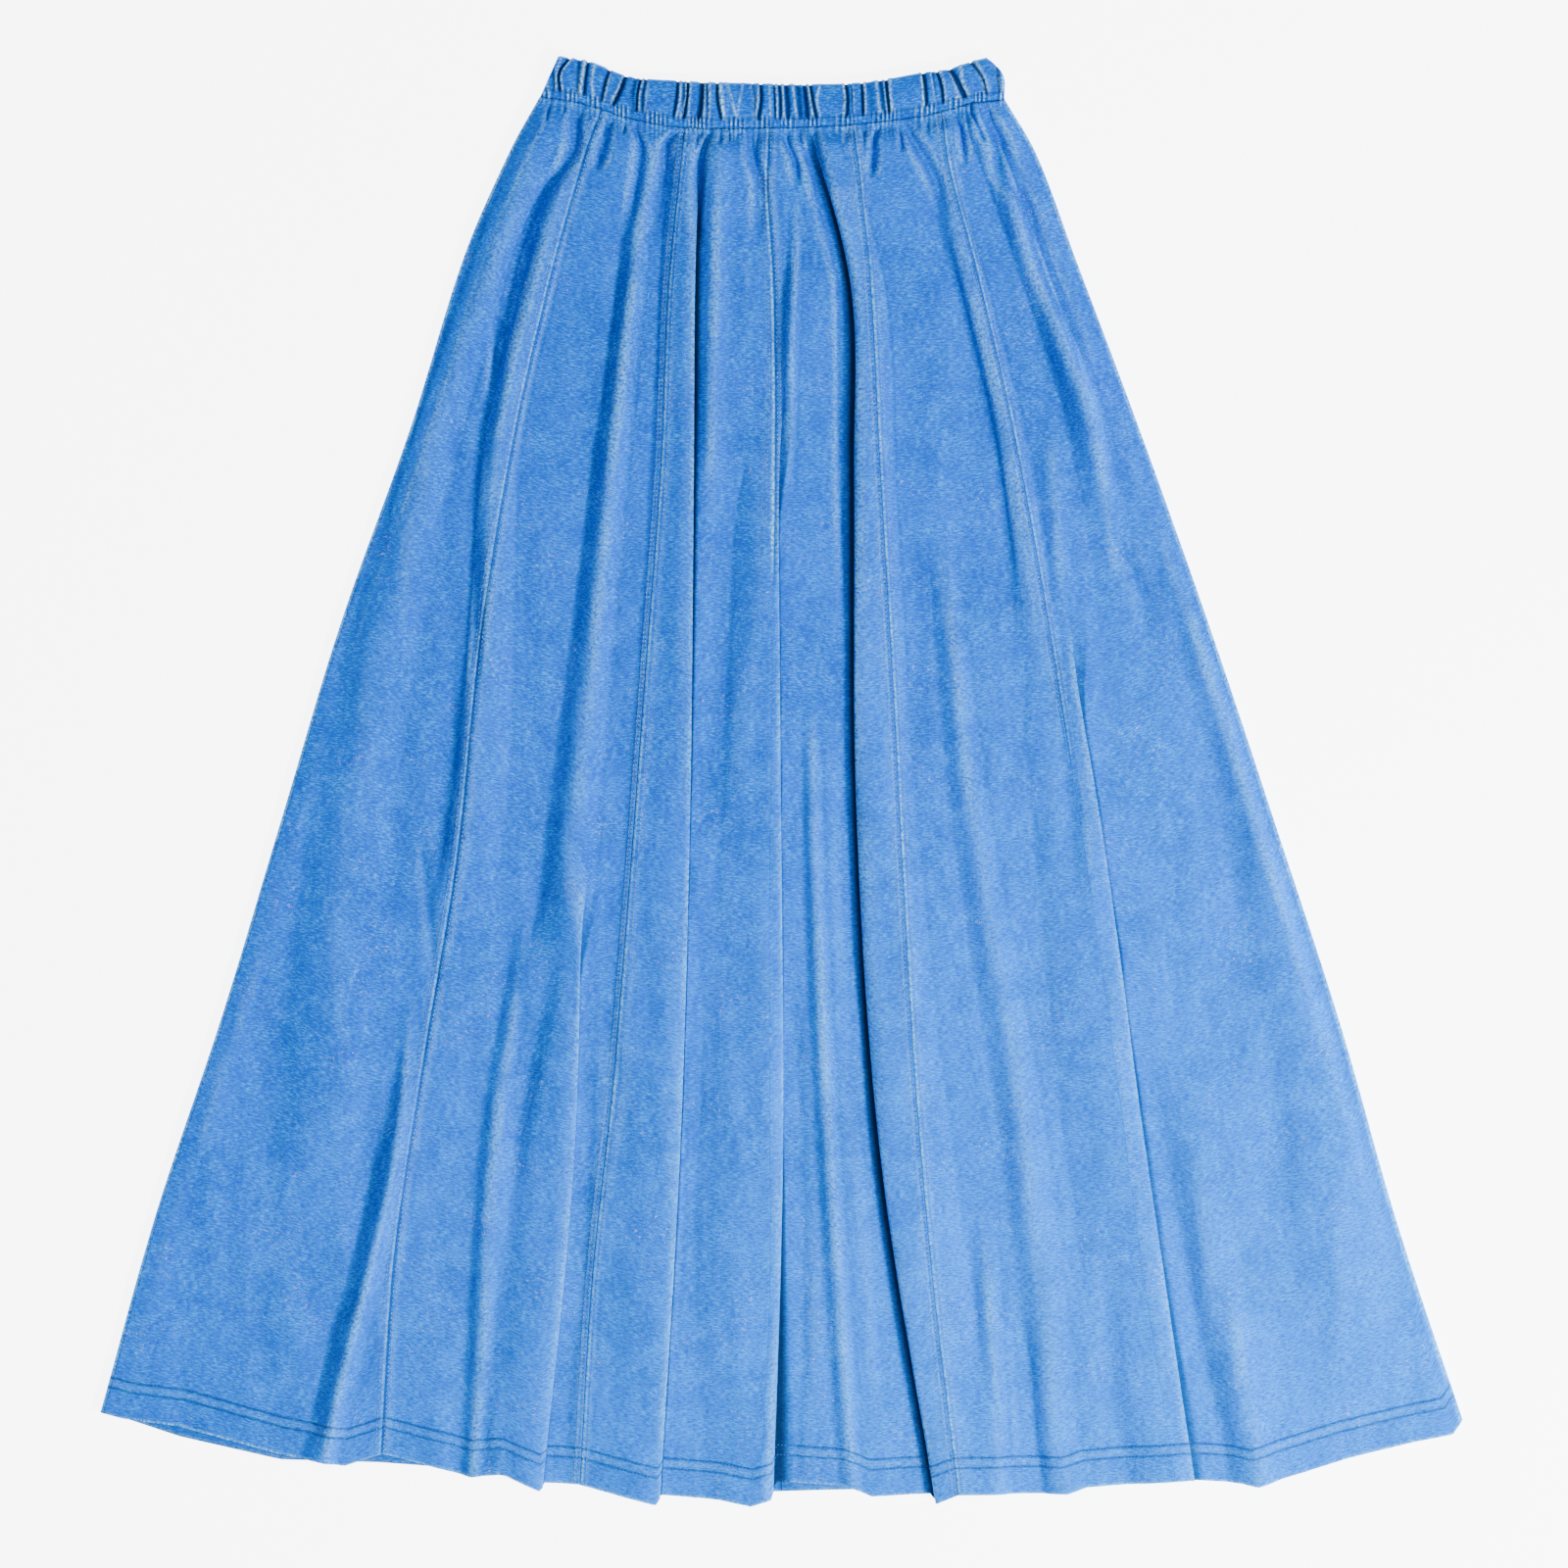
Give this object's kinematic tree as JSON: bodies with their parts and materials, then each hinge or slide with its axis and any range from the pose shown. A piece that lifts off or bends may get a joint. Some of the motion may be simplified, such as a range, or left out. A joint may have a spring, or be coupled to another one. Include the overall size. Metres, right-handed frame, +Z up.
{
  "type": "maxi skirt",
  "caption": "Long flared jersey skirt laid flat, gored panels falling in soft folds from a gathered elastic waist to a stitched hem.",
  "frame": {"origin": "on the surface that the skirt lies on, under the middle of its box", "axes": "+Y from the hem to the waist, +X to the right seen from above, +Z up"},
  "size_m": [0.8922, 0.9468, 0.0188],
  "materials": {
    "washed_jersey": "mineral-washed cotton single jersey, matt with a fine nap",
    "casing_jersey": "the same jersey gathered over elastic, matt"
  },
  "bodies": {
    "root": {"casing_front": "casing_jersey", "casing_back": "casing_jersey", "gore_front_1": "washed_jersey", "gore_front_2": "washed_jersey", "gore_front_3": "washed_jersey", "gore_front_4": "washed_jersey", "gore_front_5": "washed_jersey", "gore_front_6": "washed_jersey", "gore_back_1": "washed_jersey", "gore_back_2": "washed_jersey", "gore_back_3": "washed_jersey", "gore_back_4": "washed_jersey", "gore_back_5": "washed_jersey", "gore_back_6": "washed_jersey"}
  },
  "joints": []
}
